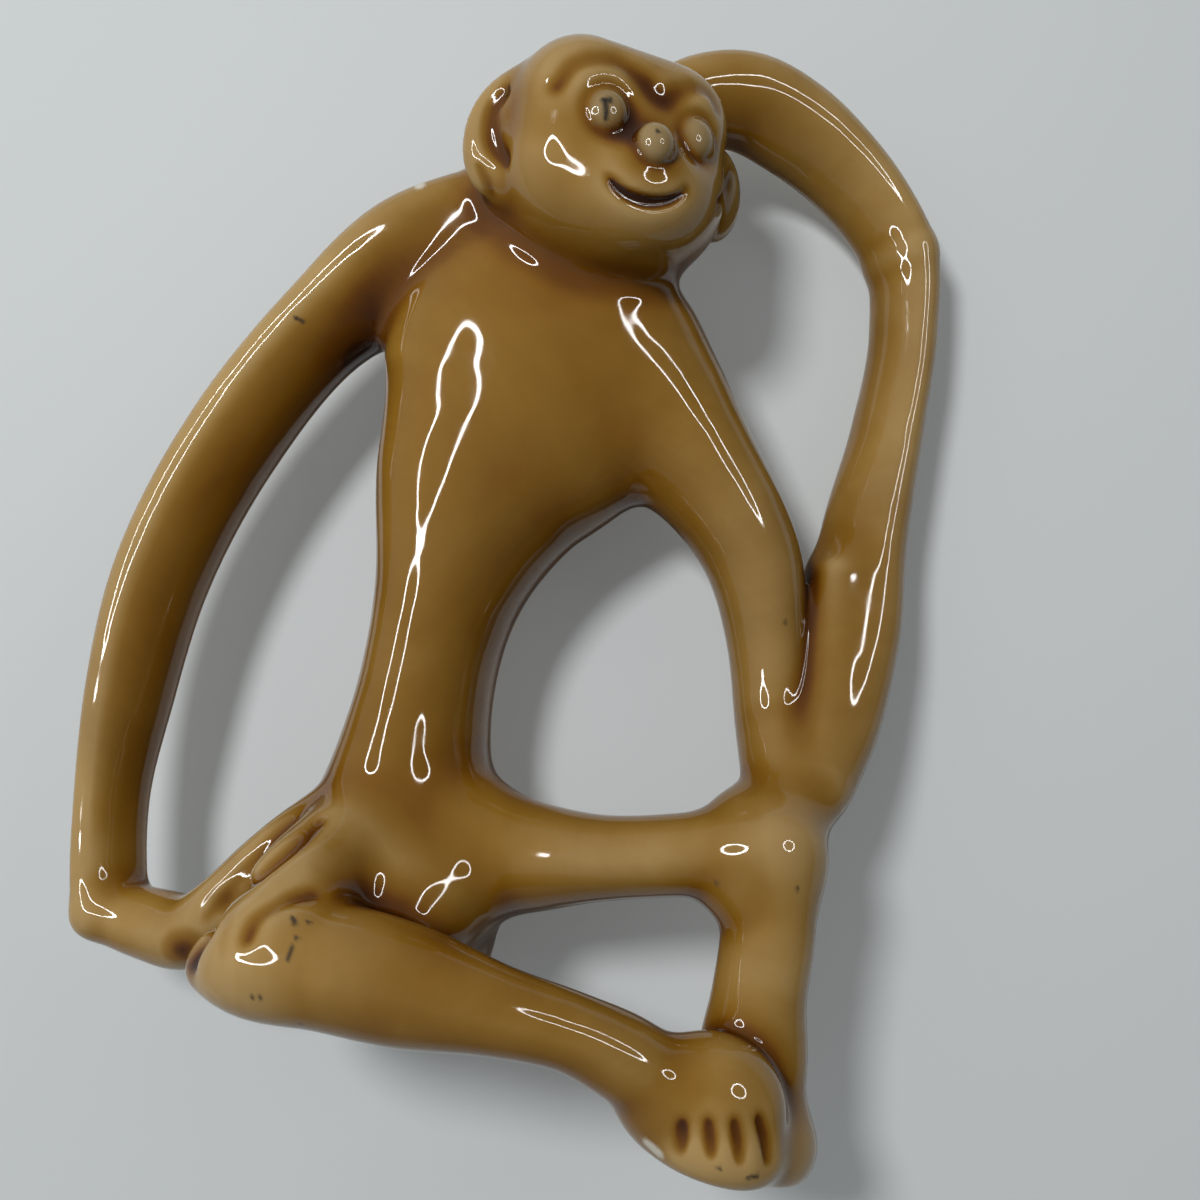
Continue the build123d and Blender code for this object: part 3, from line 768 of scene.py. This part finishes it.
def open_loops(faces, count):
    """The loops of edges that only one of the faces uses."""
    edges = np.vstack([faces[:, [i, (i + 1) % 4]] for i in range(4)])
    alone = ~np.isin(edges[:, 1] * count + edges[:, 0], edges[:, 0] * count + edges[:, 1])
    onward, loops = {}, []
    for a, b in edges[alone].tolist():
        onward.setdefault(a, []).append(b)
    for start in onward:
        way = [start]
        while onward[way[-1]]:
            spot = onward[way[-1]].pop()
            if spot in way:
                loops.append(way[way.index(spot):])
                del way[way.index(spot) + 1:]
            else:
                way.append(spot)
    return loops


def cast_mesh(name):
    """A piece's share of the skin, its open rims closed with fans."""
    used, faces = np.unique(quads[face_owner == NAMES.index(name)], return_inverse=True)
    faces = faces.reshape(-1, 4)
    loops = open_loops(faces, len(used))
    points = np.vstack([spots[used], *(spots[used[loop]].mean(0)[None] for loop in loops)])
    caps = [(b, a, len(used) + i) for i, loop in enumerate(loops) for a, b in zip(loop, loop[1:] + loop[:1])]
    mesh = bpy.data.meshes.new(name + "_skin")
    mesh.from_pydata((points * MM).tolist(), [], faces.tolist() + caps)
    for key, values in SURFACE.items():
        shared = np.append(values[used], np.zeros(len(loops))).astype(np.float32)
        mesh.attributes.new(key, "FLOAT", "POINT").data.foreach_set("value", shared)
    mesh.shade_smooth()
    mesh.update()
    flat = np.empty((len(mesh.polygons), 3), np.float32)
    mesh.polygons.foreach_get("normal", flat.ravel())
    corners = np.vstack([normals[used[faces.ravel()]], np.repeat(flat[len(faces):], 3, axis=0)])
    mesh.normals_split_custom_set(corners.tolist())
    return mesh


honey = glaze("honey_glaze", HONEY)
pale = glaze("pale_glaze", PALE)
for name in NAMES:
    small = name in PELLETS
    mesh = cast_mesh(name)
    mesh.materials.append(pale if small else honey)
    piece = bpy.data.objects.new(name + "_skin", mesh)
    bpy.context.scene.collection.objects.link(piece)
    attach(piece, "root")
    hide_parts(name)

# Camera: in front, a little low and rolled, as the photo was taken
camera = bpy.data.objects.new("camera", bpy.data.cameras.new("camera"))
camera.data.sensor_width = SENSOR
camera.data.lens = SENSOR * FOCAL / PICTURE
camera.data.clip_start = CLIP_START
camera.matrix_world = Matrix.Translation(STAND * MM) @ Matrix(VIEW.tolist()).to_4x4()
bpy.context.scene.collection.objects.link(camera)
bpy.context.scene.camera = camera


def stage_piece(name, points, faces, material):
    mesh = bpy.data.meshes.new(name)
    mesh.from_pydata(points, [], faces)
    mesh.materials.append(material)
    made = bpy.data.objects.new(name, mesh)
    bpy.context.scene.collection.objects.link(made)
    return made


def cloth_material():
    """Pale cloth, a little lifted for the camera only and clear from behind."""
    material = bpy.data.materials.new("backdrop")
    material.use_nodes = True
    tree = material.node_tree
    shader = tree.nodes["Principled BSDF"]
    shader.inputs["Base Color"].default_value = opaque(CLOTH)
    shader.inputs["Roughness"].default_value = CLOTH_ROUGHNESS
    to_camera = add(tree, "ShaderNodeLightPath").outputs["Is Camera Ray"]
    lift = add(tree, "ShaderNodeMath", {0: to_camera, 1: CLOTH_LIFT}, operation="MULTIPLY").outputs[0]
    glow = add(tree, "ShaderNodeEmission", {"Color": opaque(CLOTH)}).outputs[0]
    lifted = add(tree, "ShaderNodeMixShader", {0: lift, 1: shader.outputs[0], 2: glow}).outputs[0]
    behind = add(tree, "ShaderNodeNewGeometry").outputs["Backfacing"]
    clear = add(tree, "ShaderNodeBsdfTransparent").outputs[0]
    either = add(tree, "ShaderNodeMixShader", {0: behind, 1: lifted, 2: clear}).outputs[0]
    tree.links.new(either, tree.nodes["Material Output"].inputs["Surface"])
    return material


def out(turn, lift, reach):
    """A place around the figure: turn to its left is positive, lift is upward."""
    a, b = radians(turn), radians(lift)
    return MIDDLE + reach * Vector((sin(a) * cos(b), -cos(a) * cos(b), sin(b)))


def aim(made, spot):
    """Puts something at a spot and points it at the figure."""
    made.location = spot
    made.rotation_euler = (MIDDLE - spot).to_track_quat("-Z", "Y").to_euler()


def lamp(name, spot, size, watts):
    data = bpy.data.lights.new(name, "AREA")
    data.shape = "DISK"
    data.size = size
    data.energy = watts
    made = bpy.data.objects.new(name, data)
    aim(made, spot)
    made.visible_glossy = False
    bpy.context.scene.collection.objects.link(made)


def ring(name, spot, radius, band, strength):
    """A ring lamp that only shows in the glaze."""
    material = bpy.data.materials.new(name)
    material.use_nodes = True
    tree = material.node_tree
    glow = add(tree, "ShaderNodeEmission", {"Strength": strength}).outputs[0]
    tree.links.new(glow, tree.nodes["Material Output"].inputs["Surface"])
    turns = np.radians(np.arange(0, 360, RING_STEP))
    n = len(turns)
    points = [(r * cos(t), r * sin(t), 0.0) for r in (radius - band, radius) for t in turns]
    faces = [(i, (i + 1) % n, n + (i + 1) % n, n + i) for i in range(n)]
    made = stage_piece(name, points, faces, material)
    aim(made, spot)
    made.visible_camera = made.visible_diffuse = made.visible_shadow = made.visible_transmission = False


def room():
    """A plain room, brighter on the figure's right, that the camera sees as one colour."""
    world = bpy.data.worlds.new("room")
    bpy.context.scene.world = world
    world.use_nodes = True
    tree = world.node_tree
    way = add(tree, "ShaderNodeTexCoord").outputs["Generated"]
    across = add(tree, "ShaderNodeSeparateXYZ", {0: way}).outputs["X"]
    spread = {0: across, 1: -1.0, 2: 1.0, 3: ROOM_RIGHT, 4: ROOM_LEFT}
    fade = add(tree, "ShaderNodeMapRange", spread).outputs[0]
    light = tree.nodes["Background"]
    light.inputs["Color"].default_value = opaque(ROOM)
    tree.links.new(fade, light.inputs["Strength"])
    shown = add(tree, "ShaderNodeBackground", {"Color": opaque(ROOM_SEEN)}).outputs[0]
    to_camera = add(tree, "ShaderNodeLightPath").outputs["Is Camera Ray"]
    either = add(tree, "ShaderNodeMixShader", {0: to_camera, 1: light.outputs[0], 2: shown}).outputs[0]
    tree.links.new(either, tree.nodes["World Output"].inputs["Surface"])


# Backdrop close behind the figure
wall = stage_piece("backdrop", [
    (-WALL_SIDE, WALL_Y, WALL_LOW), (WALL_SIDE, WALL_Y, WALL_LOW),
    (WALL_SIDE, WALL_Y, WALL_HIGH), (-WALL_SIDE, WALL_Y, WALL_HIGH),
], [(0, 1, 2, 3)], cloth_material())
wall.visible_shadow = False
for name, (turn, lift, reach, size, watts) in LAMPS.items():
    lamp(name, out(turn, lift, reach), size, watts)
for name, (turn, lift, reach, radius, band, strength) in RINGS.items():
    ring(name, out(turn, lift, reach), radius, band, strength)
room()
bpy.context.scene.view_settings.view_transform = "Standard"
